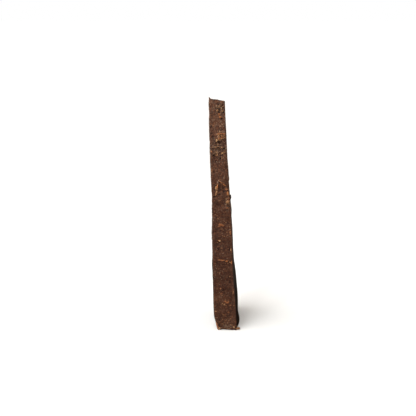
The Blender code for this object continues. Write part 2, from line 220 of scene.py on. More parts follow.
# Where crumbs fell out of the crumbly parts of the front: the middle of each part across and up, its
# half width and half height, and how many pits are in it.
pitted_parts = ((-3.9, 80.0, 3.0, 4.0, 26), (-3.4, 97.0, 2.4, 3.4, 10), (-0.4, 3.0, 3.4, 3.4, 12))
pit_radii, pit_height_shares, pit_depths = (0.3, 0.55), (0.6, 1.1), (0.1, 0.3)
pit_seed = 41
pit_draw = random.Random(pit_seed)
for middle, level, half_width, half_height, count in pitted_parts:
    for _ in range(count):
        angle, reach = pit_draw.uniform(0.0, 2.0 * math.pi), pit_draw.random() ** 0.5
        radius = pit_draw.uniform(*pit_radii)
        x = middle + half_width * reach * math.cos(angle)
        height = level + half_height * reach * math.sin(angle)
        half_rise = radius * pit_draw.uniform(*pit_height_shares)
        front_pits += ((x, height, radius, half_rise, pit_draw.uniform(*pit_depths)),)

# How far the edges of the small marks wander, and over what length.
mark_wobble, mark_wobble_length = 0.22, 0.9

# A splinter is missing from the right rim of the front: place across, height, half width, half height,
# and how deep the hole is. Through the tone, that depth also paints the hole near black with shade.
rim_notch = (1.1, 59.8, 0.6, 1.25)
rim_notch_depth_and_shade = 0.6

# How much paler or darker the breaks are painted from the foot to the top: painted light and shade,
# with the foot painted lightest.
painted_light_heights = (0, 6, 14, 20, 37, 44, 52, 58, 66, 86, 91, 96, 99)
painted_light_and_shade = (0.28, 0.04, 0.0, -0.17, -0.17, 0.0, 0.0, -0.06, 0.0, 0.0, 0.11, 0.11, 0.0)

# The edge of a flake that stayed on when the piece to its right broke out: heights, and places.
flake_heights = (59.9, 60.6, 61.3, 62.1, 63.5, 65.9, 67.4)
flake_edge = (-6.6, -5.9, -5.0, -4.36, -4.12, -4.02, -3.85)
# How far that edge stands out and the step beside it lies back, each with its width, and over
# what height both run out at their ends.
flake_lift, flake_width = 0.12, 1.1
flake_step, flake_step_width = 0.2, 0.6
flake_run_out = 0.8


def along_ridge(x, height, ridge):
    """1 on the crest of a ridge, down to 0 at its foot."""
    x0, z0, x1, z1, half_width, _ = ridge
    run_x, run_z = x1 - x0, z1 - z0
    share = ((x - x0) * run_x + (height - z0) * run_z) / (run_x**2 + run_z**2)
    share = min(max(share, 0.0), 1.0)
    return dome(math.hypot(x - x0 - share * run_x, height - z0 - share * run_z) / half_width)


def small_marks(x, height):
    """How far the small marks of the front stand out, with their edges broken up."""
    place = Vector((x, mark_waves, height))
    x += mark_wobble * waves(place, mark_wobble_length)
    height += mark_wobble * waves(place + Vector((7.0, 0.0, 0.0)), mark_wobble_length)
    relief = 0.0
    for pit in front_pits:
        if abs(height - pit[1]) < pit[3]:
            relief -= pit[4] * near(x, height, *pit[:4])
    for ridge in front_ridges:
        if min(ridge[1], ridge[3]) - 0.5 < height < max(ridge[1], ridge[3]) + 0.5:
            relief += ridge[5] * along_ridge(x, height, ridge)
    if flake_heights[0] < height < flake_heights[-1]:
        past = x - float(np.interp(height, flake_heights, flake_edge))
        ends = 1.0 - fade(min(height - flake_heights[0], flake_heights[-1] - height), flake_run_out)
        if past < 0.0:
            relief += ends * flake_lift * fade(-past, flake_width)
        else:
            relief -= ends * flake_step * fade(past, flake_step_width)
    return relief


def crumbliness(x, height, front):
    """0 where a break is even, and 1 where it is all crumbs."""
    patches = front_crumb if front else back_crumb
    return min(1.4 * sum(near(x, height, *patch) for patch in patches), 1.0)


def coarse_relief(x, height, front):
    """How far a break stands out: long steps, crumb, and the scars cut into them."""
    place = Vector((x, front_waves if front else back_waves, height))
    relief = step_relief * waves(place, step_length) + crumb_relief * waves(place, crumb_length)
    scars = front_scars if front else back_scars
    return relief - sum(scar[4] * near(x, height, *scar[:4]) for scar in scars)


# The grain of the breaks. Of each pair the first value is that of an even break, and the second is
# what a crumbly one adds to it.
large_crumb, small_crumb, pit_size = 1.1, 0.6, 0.85
large_relief, small_relief = (0.022, 0.026), (0.018, 0.032)
pit_share, pit_relief = (0.32, 0.09), (0.45, 0.2)
# How coarse the grain is at the foot, and how much coarser it is at the top.
foot_grain, top_grain_gain = 0.72, 0.42
top_roughness = 0.7  # how crumbly the top break is, from 0 to 1


def fine_relief(place, rough):
    """The grain of a break: crumbs of two sizes, and pits where crumbs fell out."""
    crumbs = (large_relief[0] + large_relief[1] * rough) * lumps(place, large_crumb)
    crumbs += (small_relief[0] + small_relief[1] * rough) * lumps(place, small_crumb)
    pit = noise.noise((place + Vector((0.0, 9.0, 0.0))) / pit_size)
    pit = max(pit - pit_share[0] + pit_share[1] * rough, 0.0)
    coarseness = foot_grain + top_grain_gain * place.z / shard_height
    return coarseness * (crumbs - (pit_relief[0] + pit_relief[1] * rough) * pit)


# Low swellings over nuts that lie just under the broad faces: whether it is on the right face,
# share of the depth, height, radius, height over width, and rise.
swelling_count, swelling_seed = 12, 12
swelling_draw = random.Random(swelling_seed)
swelling_ranges = ((0.15, 0.72), (8, 94), (1.8, 3.4), (0.6, 1.9), (0.08, 0.24))
swellings = [
    (number % 2, *(swelling_draw.uniform(*span) for span in swelling_ranges))
    for number in range(swelling_count)
]
swelling_wobble, swelling_wobble_length = 0.3, 2.6

# The film left crinkles that run up the left face. They are sharp, bend to and fro, and are deep in
# some patches and shallow in others.
crinkle_relief = 0.2
crinkle_width = 1.7
crinkle_stretch = 0.24
crinkle_sharpness = 3.2
crinkle_bend, crinkle_bend_lengths = 1.3, (6.0, 9.0)
crinkle_patch_lengths, crinkle_patch_edge = (8.0, 14.0), 0.6
crinkle_least = 0.35


def broad_relief(side, depth, height):
    """How far a broad face stands out: slow waves, and swellings over buried nuts."""
    place = Vector((side * broad_waves, depth, height))
    relief = swell_relief * waves(place, swell_length) + ripple_relief * waves(place, ripple_length)
    relief *= 1.0 - straight_share * fade(depth, straight_depth)
    relief *= air_side_share if side > 0 else 1.0
    full_depth = at_height(depth_profile, height)
    uneven = 1.0 + swelling_wobble * waves(place, swelling_wobble_length)
    for on_right, share, level, radius, stretch, rise in swellings:
        if on_right == (side > 0):
            gap = math.hypot(depth - share * full_depth, (height - level) / stretch)
            relief += rise * dome(uneven * gap / radius)
    return relief


def crinkles(depth, height):
    """Sharp folds with soft valleys between them, longer than they are wide."""
    bend_depth, bend_height = crinkle_bend_lengths
    bend = crinkle_bend * noise.noise(Vector((depth / bend_depth, height / bend_height, 3.0)))
    along = Vector((5.0, (depth + bend) / crinkle_width, height * crinkle_stretch / crinkle_width))
    fold = max(1.0 - crinkle_sharpness * abs(noise.noise(along)), 0.0) ** 2
    patch_depth, patch_height = crinkle_patch_lengths
    shallow = 2.0 * noise.noise(Vector((depth / patch_depth, height / patch_height, 8.0)))
    patchy = crinkle_least + (1.0 - crinkle_least) * fade(-shallow, crinkle_patch_edge)
    return crinkle_relief * fold * patchy


def twist(across, height):
    """How far the shard leans to the right for each unit of depth. The left face leans less."""
    foot = twist_foot_left + across * (twist_foot_right - twist_foot_left)
    return twist_top + (foot - twist_top) * fade(height, twist_height)


def top_height(across, depth):
    """The top break falls to the right and to the back, between two lips."""
    lips = left_lip * fade(across, left_lip_width) + right_lip * fade(1.0 - across, right_lip_width)
    place = Vector((across * top_thickness, depth, top_waves))
    ripple = top_ripple * waves(place, crumb_length)
    fall = top_fall_right * across + top_roll_right * across**3 + top_fall_back * depth
    inner = 1.0 - fade(depth, lip_depth)
    return shard_height - fall + lips * fade(depth, lip_depth) + ripple * inner


def foot_height(across, depth):
    """The foot is on the floor, but for the undercut along its front."""
    outside = max(undercut_from - across, across - undercut_to)
    return undercut * fade(outside, undercut_blend) * fade(depth, undercut_depth)


def shard_point(across, back, up, detail):
    """The place of a point of the box, given by its shares of thickness, depth and height, and
    how far the fine grain stands out there. Detail 0 gives the smooth shard of the solid."""
    depth = back * at_height(depth_profile, up * shard_height)
    low = foot_height(across, depth)
    height = low + up * (top_height(across, depth) - low)
    full_depth = at_height(depth_profile, height)
    depth = back * full_depth
    loss = corner_loss * max(1.0 - height / corner_height, 0.0) * max(1.0 - depth / corner_depth, 0.0)
    left = at_height(left_profile, height) + loss
    spread = flare * fade(height, flare_height) * dome(abs(depth / flare_depth - 1.0))
    right = at_height(right_profile, height) + spread
    x = left + across * (right - left)

    side = -1 if across < 0.5 else 1
    end = -1 if back < 0.5 else 1
    face_share = max(1.0 - min(across, 1.0 - across) * (right - left) / rim, 0.0)
    break_share = max(1.0 - min(back, 1.0 - back) * full_depth / rim, 0.0)
    top_share = max(1.0 - (1.0 - up) * shard_height / rim, 0.0)
    length = math.hypot(face_share, break_share)
    grain = 0.0
    if detail and max(length, top_share) > 0.0:
        rough = crumbliness(x, height, end < 0) if top_share == 0.0 else top_roughness
        grain = detail * fine_relief(Vector((x, depth, height)), rough)
        if end < 0 and break_share > 0.0:
            grain += detail * small_marks(x, height)
            # Painted shade: the notch's depth also darkens it through the tone.
            grain -= rim_notch_depth_and_shade * near(x, height, *rim_notch)
    if length > 0.0:
        reach = max(face_share, break_share)
        face_way = face_share / length
        break_way = break_share / length
        out = (coarse_relief(x, height, end < 0) + grain) * break_way**2
        out += broad_relief(side, depth, height) * face_way**2
        if detail and side < 0:
            out += crinkles(depth, height) * face_way**4
        out -= foot_rim * fade(height, foot_rim_height)
        x += side * (rim * (face_way * reach - face_share) + face_way * reach * out)
        depth += end * (rim * (break_way * reach - break_share) + break_way * reach * out)
    height += grain * top_share
    return Vector((x + twist(across, height) * depth, depth, height)), grain


def crowd(share, amount):
    """Moves evenly spaced shares towards 0 and 1."""
    return share - amount * math.sin(2.0 * math.pi * share) / (2.0 * math.pi)


def box_of_grids(across_cells, back_cells, up_cells):
    """A closed box of square cells from 0 to 1: six grids, joined along their rims."""
    mesh = bmesh.new()
    upright = Matrix.Rotation(math.radians(90), 4, "X")
    sideways = Matrix.Rotation(math.radians(90), 4, "Y")
    for turn, columns, rows in (
        (Matrix.Identity(4), across_cells, back_cells),
        (sideways, up_cells, back_cells),
        (upright, across_cells, up_cells),
    ):
        for offset in (0.5, -0.5):
            place = turn @ Matrix.Translation((0.0, 0.0, offset))
            bmesh.ops.create_grid(mesh, x_segments=columns, y_segments=rows, size=0.5, matrix=place)
    bmesh.ops.remove_doubles(mesh, verts=mesh.verts, dist=1e-5)
    bmesh.ops.recalc_face_normals(mesh, faces=mesh.faces)
    bmesh.ops.translate(mesh, verts=mesh.verts, vec=(0.5, 0.5, 0.5))
    return mesh


# The solid's box gives the shard's place in the frame: its left end is the top's left face and
# its far end is the back break, and no chip reaches past either.
low_corner, high_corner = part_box("bark_slab")
plain_points = [
    shard_point(across, back, up, 0)[0]
    for across, back in ((0.0, 0.4), (0.0, 0.8), (0.4, 1.0), (0.8, 1.0))
    for up in np.linspace(0.0, 1.0, 103)
]
to_frame = Vector((
    low_corner.x / MM - min(point.x for point in plain_points),
    high_corner.y / MM - max(point.y for point in plain_points),
    0.0,
))

BROKEN, FILM_SIDE, AIR_SIDE = 0, 1, 2  # material slots
# Cells of the box across, to the back and up, and how far they crowd towards its edges.
box_cells = (36, 72, 410)
across_crowd, back_crowd, up_crowd = 0.5, 0.6, 0.3
sheet_thickness = 8.0
# How much each thing brightens or darkens the breaks: the grain, paler where crumbs stand out and
# painted with shade in its pits and steps; the scars, painted with shade; and the crumbled rims,
# painted with a highlight too.
grain_tone_and_pit_shade, painted_scar_shade, rim_crumb_and_highlight, rim_crumb_and_highlight_width = 3.6, 0.35, 0.22, 0.7
# How far in from the breaks the rims of the broad faces are chipped.
chipped_width, chipped_wobble, chipped_length, chipped_edge = 0.25, 0.55, 1.6, 0.45

shard_mesh = box_of_grids(*box_cells)
for face in shard_mesh.faces:
    across = face.calc_center_median().x
    face.material_index = FILM_SIDE if across < 1e-6 else AIR_SIDE if across > 1.0 - 1e-6 else BROKEN
tone_layer = shard_mesh.verts.layers.float.new("tone")
chipped_layer = shard_mesh.verts.layers.float.new("chipped")
crumb_layer = shard_mesh.verts.layers.float.new("crumb")
for vertex in shard_mesh.verts:
    across = crowd(vertex.co.x, across_crowd)
    back = crowd(vertex.co.y, back_crowd)
    up = crowd(vertex.co.z, up_crowd)
    place, grain = shard_point(across, back, up, 1)
    front = back < 0.5
    rough = crumbliness(place.x, place.z, front)
    break_gap = min(back, 1.0 - back) * at_height(depth_profile, place.z)
    end_gap = min(up, 1.0 - up) * shard_height
    face_gap = min(across, 1.0 - across) * sheet_thickness
    # The tone paints shade into pits, steps, scars and the rim notch, and a highlight on the rims;
    # crumbs that stand out are paler.
    scar = coarse_relief(place.x, place.z, front) if break_gap < 0.01 else 0.0
    bite = chipped_width + chipped_wobble * waves(place, chipped_length)
    # Rims: paler as crumbled chocolate, and painted with a highlight as well.
    plain = rim_crumb_and_highlight * fade(face_gap, rim_crumb_and_highlight_width) + float(np.interp(place.z, painted_light_heights, painted_light_and_shade))
    vertex[tone_layer] = grain_tone_and_pit_shade * grain + painted_scar_shade * min(scar, 0.0) + plain
    vertex[chipped_layer] = fade(min(break_gap, end_gap) - bite, chipped_edge)
    vertex[crumb_layer] = rough
    vertex.co = (place + to_frame) * MM
shard_data = bpy.data.meshes.new("chocolate_shard")
shard_mesh.to_mesh(shard_data)
shard_mesh.free()
shard_data.shade_smooth()
shard = bpy.data.objects.new("chocolate_shard", shard_data)
bpy.context.scene.collection.objects.link(shard)


def on_screen(red, green, blue):
    """A colour given as it looks on the screen, from 0 to 255, as the shaders want it."""
    shares = (red / 255, green / 255, blue / 255)
    return tuple(((s + 0.055) / 1.055) ** 2.4 if s > 0.04 else s / 12.92 for s in shares) + (1.0,)


def add(tree, kind, x, y, **settings):
    made = tree.nodes.new(kind)
    made.location = (x, y)
    for name, value in settings.items():
        setattr(made, name, value)
    return made


def cloud(tree, x, y, scale, detail, source):
    """Noise on the given coordinates: the scale is per metre."""
    made = add(tree, "ShaderNodeTexNoise", x, y)
    made.inputs["Scale"].default_value = scale
    made.inputs["Detail"].default_value = detail
    tree.links.new(source, made.inputs["Vector"])
    return made.outputs["Fac"]


def combine(tree, operation, x, y, first, second):
    made = add(tree, "ShaderNodeMath", x, y, operation=operation)
    for socket, value in zip(made.inputs, (first, second)):
        if isinstance(value, (int, float)):
            socket.default_value = value
        else:
            tree.links.new(value, socket)
    return made.outputs[0]


def remap(tree, x, y, source, low, high, to_low, to_high):
    made = add(tree, "ShaderNodeMapRange", x, y)
    for name, value in (("From Min", low), ("From Max", high), ("To Min", to_low), ("To Max", to_high)):
        made.inputs[name].default_value = value
    tree.links.new(source, made.inputs["Value"])
    return made.outputs["Result"]


def ramp(tree, x, y, source, stops):
    made = add(tree, "ShaderNodeValToRGB", x, y)
    elements = made.color_ramp.elements
    while len(elements) < len(stops):
        elements.new(0.5)
    for element, (position, colour) in zip(elements, stops):
        element.position = position
        element.color = colour
    tree.links.new(source, made.inputs["Fac"])
    return made.outputs["Color"]


def mix_colour(tree, x, y, factor, first, second):
    made = add(tree, "ShaderNodeMix", x, y, data_type="RGBA")
    tree.links.new(factor, made.inputs[0])
    for socket, value in ((made.inputs[6], first), (made.inputs[7], second)):
        if isinstance(value, tuple):
            socket.default_value = value
        else:
            tree.links.new(value, socket)
    return made.outputs[2]


# Broken chocolate, which shows on the breaks and where the rims of the broad faces are chipped: brown
# with paler and greyer crumbs and fine flecks of nut, and darkest in the pits, where the tone paints
# shade. First its clouds, per metre: grain, patches, flecks of nut and grey crumbs. Then how strongly
# the grain and the flecks show, where a break is even and where it is crumbly, and how much patches and
# crumbs change it.
grain_scale, patch_scale, fleck_scale, cool_scale = 1600.0, 240.0, 1050.0, 1300.0
grain_contrasts, fleck_shares = (0.33, 0.46), (0.12, 0.5)
patch_contrast, most_coolness, crumb_coolness = 0.10, 0.7, 0.3

broken_look = bpy.data.node_groups.new("broken_chocolate_look", "ShaderNodeTree")
broken_look.interface.new_socket("Tone", in_out="INPUT", socket_type="NodeSocketFloat")
broken_look.interface.new_socket("Crumb", in_out="INPUT", socket_type="NodeSocketFloat")
broken_look.interface.new_socket("Colour", in_out="OUTPUT", socket_type="NodeSocketColor")
broken_look.interface.new_socket("Height", in_out="OUTPUT", socket_type="NodeSocketFloat")
given = add(broken_look, "NodeGroupInput", -1400, 0)
result = add(broken_look, "NodeGroupOutput", 800, 0)
object_space = add(broken_look, "ShaderNodeTexCoord", -1400, -300).outputs["Object"]
grain_cloud = cloud(broken_look, -1100, -200, grain_scale, 2.0, object_space)
patch_cloud = cloud(broken_look, -1100, -400, patch_scale, 2.0, object_space)
fleck_cloud = cloud(broken_look, -1100, -600, fleck_scale, 1.5, object_space)
grain_contrast = remap(broken_look, -1100, 200, given.outputs["Crumb"], 0.0, 1.0, *grain_contrasts)
even_grain = remap(broken_look, -900, -200, grain_cloud, 0.25, 0.75, -1.0, 1.0)
grain_part = combine(broken_look, "MULTIPLY", -900, 100, even_grain, grain_contrast)
patch_part = remap(broken_look, -900, -400, patch_cloud, 0.3, 0.7, -patch_contrast, patch_contrast)
tone_part = combine(broken_look, "MULTIPLY", -1100, 0, given.outputs["Tone"], 0.5)
clouds = combine(broken_look, "ADD", -700, -300, grain_part, patch_part)
shade = combine(broken_look, "ADD", -500, -100, clouds, tone_part)
shade_share = combine(broken_look, "ADD", -300, -100, shade, 0.5)
ground = ramp(broken_look, -100, -100, shade_share, (
    (0.0, on_screen(26, 10, 4)),
    (0.28, on_screen(57, 29, 18)),
    (0.5, on_screen(72, 40, 25)),
    (0.8, on_screen(99, 62, 43)),
    (1.0, on_screen(138, 98, 72)),
))
cool_ground = ramp(broken_look, -100, -400, shade_share, (
    (0.0, on_screen(22, 12, 8)),
    (0.28, on_screen(52, 34, 25)),
    (0.5, on_screen(66, 46, 36)),
    (0.8, on_screen(94, 74, 61)),
    (1.0, on_screen(133, 114, 97)),
))
cool_cloud = cloud(broken_look, -400, -700, cool_scale, 1.0, object_space)
coolness = remap(broken_look, -100, -700, cool_cloud, 0.42, 0.62, 0.0, most_coolness)
crumb_part = combine(broken_look, "MULTIPLY", -100, -900, given.outputs["Crumb"], crumb_coolness)
all_coolness = combine(broken_look, "ADD", 50, -700, coolness, crumb_part)
speckled = mix_colour(broken_look, 200, -200, all_coolness, ground, cool_ground)
fleck = remap(broken_look, -700, -600, fleck_cloud, 0.64, 0.70, 0.0, 1.0)
fleck_share = remap(broken_look, -700, -800, given.outputs["Crumb"], 0.0, 1.0, *fleck_shares)
fleck_part = combine(broken_look, "MULTIPLY", -500, -600, fleck, fleck_share)
flecked = mix_colour(broken_look, 400, 0, fleck_part, speckled, on_screen(138, 100, 76))
broken_look.links.new(flecked, result.inputs["Colour"])
broken_look.links.new(grain_cloud, result.inputs["Height"])


def new_finish(name, specular):
    material = bpy.data.materials.new(name)
    material.use_nodes = True
    shader = material.node_tree.nodes["Principled BSDF"]
    shader.inputs["Specular IOR Level"].default_value = specular
    return material, material.node_tree, shader


def place_broken_look(tree):
    """The broken look, fed with the shard's own attributes."""
    look = add(tree, "ShaderNodeGroup", -700, 0, node_tree=broken_look)
    for number, name in enumerate(("tone", "crumb")):
        source = add(tree, "ShaderNodeAttribute", -1000, -200 * number, attribute_name=name)
        tree.links.new(source.outputs["Fac"], look.inputs[number])
    return look


def bump(tree, shader, height, strength, distance):
    made = add(tree, "ShaderNodeBump", -200, -400)
    made.inputs["Strength"].default_value = strength
    made.inputs["Distance"].default_value = distance
    tree.links.new(height, made.inputs["Height"])
    tree.links.new(made.outputs["Normal"], shader.inputs["Normal"])


broken_chocolate, tree, shader = new_finish("broken_chocolate", 0.15)
shader.inputs["Roughness"].default_value = 0.82
look = place_broken_look(tree)
tree.links.new(look.outputs["Colour"], shader.inputs["Base Color"])
bump(tree, shader, look.outputs["Height"], 0.6, 0.00025)


skin_stretch = 0.3  # below 1, so that the clouds and crinkles of the poured faces run up them


def make_skin(name, specular, dark, light, smooth, rough, crinkle_scale, bump_strength):
    """A face of the poured sheet: even and dark, matt and brown where its rim is chipped. Its
    clouds and fine crinkles run up it."""
    material, tree, shader = new_finish(name, specular)
    look = place_broken_look(tree)
    chipped = add(tree, "ShaderNodeAttribute", -1000, -600, attribute_name="chipped").outputs["Fac"]
    object_space = add(tree, "ShaderNodeTexCoord", -1400, 300).outputs["Object"]
    stretched = add(tree, "ShaderNodeMapping", -1200, 300)
    stretched.inputs["Scale"].default_value = (1.0, 1.0, skin_stretch)
    tree.links.new(object_space, stretched.inputs["Vector"])
    bloom = cloud(tree, -1000, 300, 160.0, 4.0, stretched.outputs["Vector"])
    crinkle = cloud(tree, -1000, 500, crinkle_scale, 3.0, stretched.outputs["Vector"])
    skin = ramp(tree, -700, 300, bloom, ((0.35, dark), (0.7, light)))
    colour = mix_colour(tree, -400, 100, chipped, skin, look.outputs["Colour"])
    tree.links.new(colour, shader.inputs["Base Color"])
    gloss = remap(tree, -700, 600, bloom, 0.3, 0.7, smooth, rough)
    chipped_dullness = combine(tree, "MULTIPLY", -600, 800, chipped, 0.8)
    dullness = combine(tree, "MAXIMUM", -400, 500, gloss, chipped_dullness)
    tree.links.new(dullness, shader.inputs["Roughness"])
    bump(tree, shader, crinkle, bump_strength, 0.0003)
    return material


film_side = make_skin(
    "film_side_chocolate", specular=0.5, dark=on_screen(48, 29, 21), light=on_screen(64, 40, 29),
    smooth=0.12, rough=0.28, crinkle_scale=900.0, bump_strength=0.35,
)
# The right face's browns are darker than the left face's: partly its own colour, partly painted shade.
air_side = make_skin(
    "air_side_chocolate", specular=0.16, dark=on_screen(40, 24, 17), light=on_screen(55, 34, 24),
    smooth=0.34, rough=0.5, crinkle_scale=700.0, bump_strength=0.2,
)
for finish in (broken_chocolate, film_side, air_side):
    shard_data.materials.append(finish)
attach(shard, "root")
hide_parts("bark_slab")

# ---------------------------------------------------------------------------------------------
# Chips of roasted nut, chopped with a knife and stirred into the chocolate: flat cut sides and a
# rounded skin. The shard snapped through and around them, so they sit in the breaks with one side
# bare. Two kinds show: tan to cream meat, and orange-brown bits with the skin on.
chip_sunk = 0.3  # how deep the middle of a chip lies in its break

# Place across, height, half width, half height, turn in degrees, how far it stands out, and how
# pale it is, from 0 for a dark roast to 1 for cream meat or orange skin.
meat_chips = (
    (-4.1, 99.4, 0.8, 0.3, -20, 0.2, 0.2),
    (-4.6, 97.7, 0.7, 0.4, 5, 0.25, 0.3),
    (-6.4, 91.1, 0.3, 0.3, 0, 0.2, 0.4),
    (-4.6, 87.5, 0.5, 0.4, 20, 0.25, 0.35),
    (-3.9, 86.4, 0.5, 0.4, 0, 0.25, 0.15),
    (-1.5, 86.1, 0.5, 0.3, -15, 0.25, 0.1),
    (-3.8, 85.3, 0.8, 0.35, 5, 0.3, 0.3),
    (-2.7, 85.6, 0.6, 0.3, 0, 0.25, 0.3),
    (-4.8, 84.8, 0.3, 0.6, -8, 0.35, 0.75),
    (-2.4, 79.3, 0.5, 0.35, 0, 0.3, 0.6),
    (-4.5, 78.6, 0.3, 0.9, 20, 0.25, 0.3),
    (-2.2, 77.4, 0.6, 0.3, -35, 0.25, 0.35),
    (-4.85, 64.1, 0.62, 1.2, 5, 0.3, 0.45),
    (-4.9, 62.0, 0.5, 1.35, 18, 0.28, 0.35),
    (-3.6, 58.6, 0.6, 0.3, 0, 0.2, 0.3),
    (-0.1, 58.2, 0.95, 0.65, -12, 0.5, 0.45),
    (-3.4, 40.7, 0.35, 0.4, 0, 0.35, 0.78),
    (1.5, 36.8, 0.28, 0.7, 0, 0.25, 0.45),
    (1.1, 24.6, 0.3, 0.4, 0, 0.2, 0.3),
    (2.6, 17.3, 0.25, 0.8, 0, 0.2, 0.4),
    (-1.1, 11.7, 0.5, 0.3, 35, 0.25, 0.45),
    (1.4, 11.4, 0.5, 0.35, 0, 0.15, 0.2),
    (3.0, 11.3, 0.35, 0.6, 0, 0.2, 0.3),
    (-5.1, 8.7, 0.4, 0.4, 0, 0.3, 0.35),
    (3.0, 1.4, 0.4, 0.4, 0, 0.25, 0.65),
    (4.8, 0.8, 0.9, 0.5, -8, 0.3, 0.4),
    (-3.5, 0.55, 0.45, 0.55, 25, 0.7, 0.7),
)
skin_chips = (
    (-4.0, 95.9, 0.7, 0.5, 0, 0.35, 0.6),
    (-3.4, 94.7, 0.75, 0.45, -5, 0.34, 0.7),
    (-3.0, 87.7, 0.9, 0.4, 8, 0.3, 0.45),
    (-1.7, 87.5, 0.6, 0.4, -10, 0.25, 0.4),
    (-2.6, 86.3, 0.6, 0.3, 30, 0.25, 0.5),
    (-7.0, 80.1, 0.4, 0.4, 0, 0.3, 0.8),
    (-6.8, 72.0, 0.3, 1.0, -4, 0.2, 0.5),
    (-1.6, 65.6, 0.9, 0.22, 34, 0.38, 1.0),
    (-4.45, 65.0, 0.38, 1.3, 10, 0.3, 1.0),
    (-3.1, 66.8, 1.2, 0.18, 36, 0.33, 0.9),
    (-0.4, 63.5, 0.8, 0.4, 0, 0.3, 0.6),
    (-0.05, 61.75, 0.42, 0.8, 0, 0.38, 1.0),
    (0.4, 59.6, 0.5, 0.7, 10, 0.25, 0.2),
    (-0.2, 55.5, 0.6, 0.35, 0, 0.25, 0.6),
    (-2.9, 47.9, 1.5, 0.55, 16, 0.3, 0.6),
    (-3.7, 47.2, 1.0, 0.5, 12, 0.25, 0.5),
    (1.1, 44.3, 0.28, 0.9, 0, 0.3, 0.7),
    (-3.9, 40.9, 0.3, 0.3, 0, 0.3, 0.9),
    (-2.6, 32.15, 1.9, 0.28, 2, 0.3, 0.6),
    (-0.5, 31.7, 0.6, 0.45, 0, 0.3, 0.8),
    (1.7, 31.2, 0.28, 1.0, 0, 0.25, 0.8),
    (-3.0, 19.3, 0.4, 0.4, 0, 0.3, 0.7),
    (-2.7, 16.9, 0.7, 0.25, 0, 0.2, 0.3),
    (-0.7, 13.1, 0.8, 0.4, 45, 0.25, 0.7),
    (0.2, 12.8, 0.8, 0.4, -25, 0.25, 0.7),
    (0.5, 8.3, 0.5, 0.3, 0, 0.25, 0.5),
    (-1.0, 7.3, 0.7, 0.25, 10, 0.2, 0.2),
    (-4.45, 1.9, 0.3, 1.7, -14, 0.4, 0.9),
    (-4.2, 87.6, 0.75, 0.38, 6, 0.32, 0.6),
    (-3.6, 85.8, 0.85, 0.32, -15, 0.34, 0.6),
)


# Chips of the back and the top: the least half width, how much larger the largest is, half height
# over half width, how far they stand out, how they are turned, and how pale the palest is.
chip_least, chip_range, chip_height_shares = 0.35, 0.95, (0.35, 0.8)
chip_proud, chip_turns, spread_palest = 0.25, (-90, 90), 0.7
# How far from the sides and the ends of their break they keep, as shares of it.
chip_margin, chip_end_margin = 0.14, 0.02
# The clusters of the back: how many there are, where each lies in its share of the height, how many
# chips it has and how widely they lie in it. Then how many chips the top has, and how far back.
back_clusters, cluster_jitter, cluster_chips = 10, (0.15, 0.85), (2, 5)
cluster_width, cluster_height = 0.18, 0.018
top_chips, top_chip_depths = 4, (0.2, 0.8)
spread_seed = 13


def inside(share, margin):
    """The share, kept this far from 0 and 1."""
    return min(max(share, margin), 1.0 - margin)


def chip_half_sizes(draw):
    """Half width and half height of a chip. Most are small."""
    half_width = chip_least + chip_range * draw.random() ** 2
    return half_width, half_width * draw.uniform(*chip_height_shares)


def spread_chips():
    """The clusters of chips of the back and a few on the top, as in the solid: the place, the
    three half sizes and the turn of each."""
    draw = random.Random(spread_seed)
    spread = []
    for number in range(back_clusters):
        level = (number + draw.uniform(*cluster_jitter)) / back_clusters
        middle = draw.uniform(chip_margin, 1.0 - chip_margin)
        for _ in range(draw.randint(*cluster_chips)):
            across = inside(draw.gauss(middle, cluster_width), chip_margin)
            up = inside(draw.gauss(level, cluster_height), chip_end_margin)
            place, _ = shard_point(across, 1.0, up, 0)
            place.y -= chip_sunk
            half_width, half_height = chip_half_sizes(draw)
            sizes = (half_width, chip_sunk + chip_proud, half_height)
            spread.append((place, sizes, draw.uniform(*chip_turns)))
    for number in range(top_chips):
        across = chip_margin + (1.0 - 2.0 * chip_margin) * number / (top_chips - 1)
        place, _ = shard_point(across, draw.uniform(*top_chip_depths), 1.0, 0)
        place.z -= chip_sunk
        spread.append((place, (*chip_half_sizes(draw), chip_sunk + chip_proud), 0))
    return spread


# A chip's lumps and its cut sides: how large it starts, how far large and small lumps push its skin
# and how many of them there are, how many flat cuts it has, and how far out they are.
chip_start = 1.1
chip_lump, chip_lumps = 0.25, 1.4
chip_ripple, chip_ripples = 0.06, 6.0
chip_cuts, chip_cut_places = 4, (0.72, 0.98)


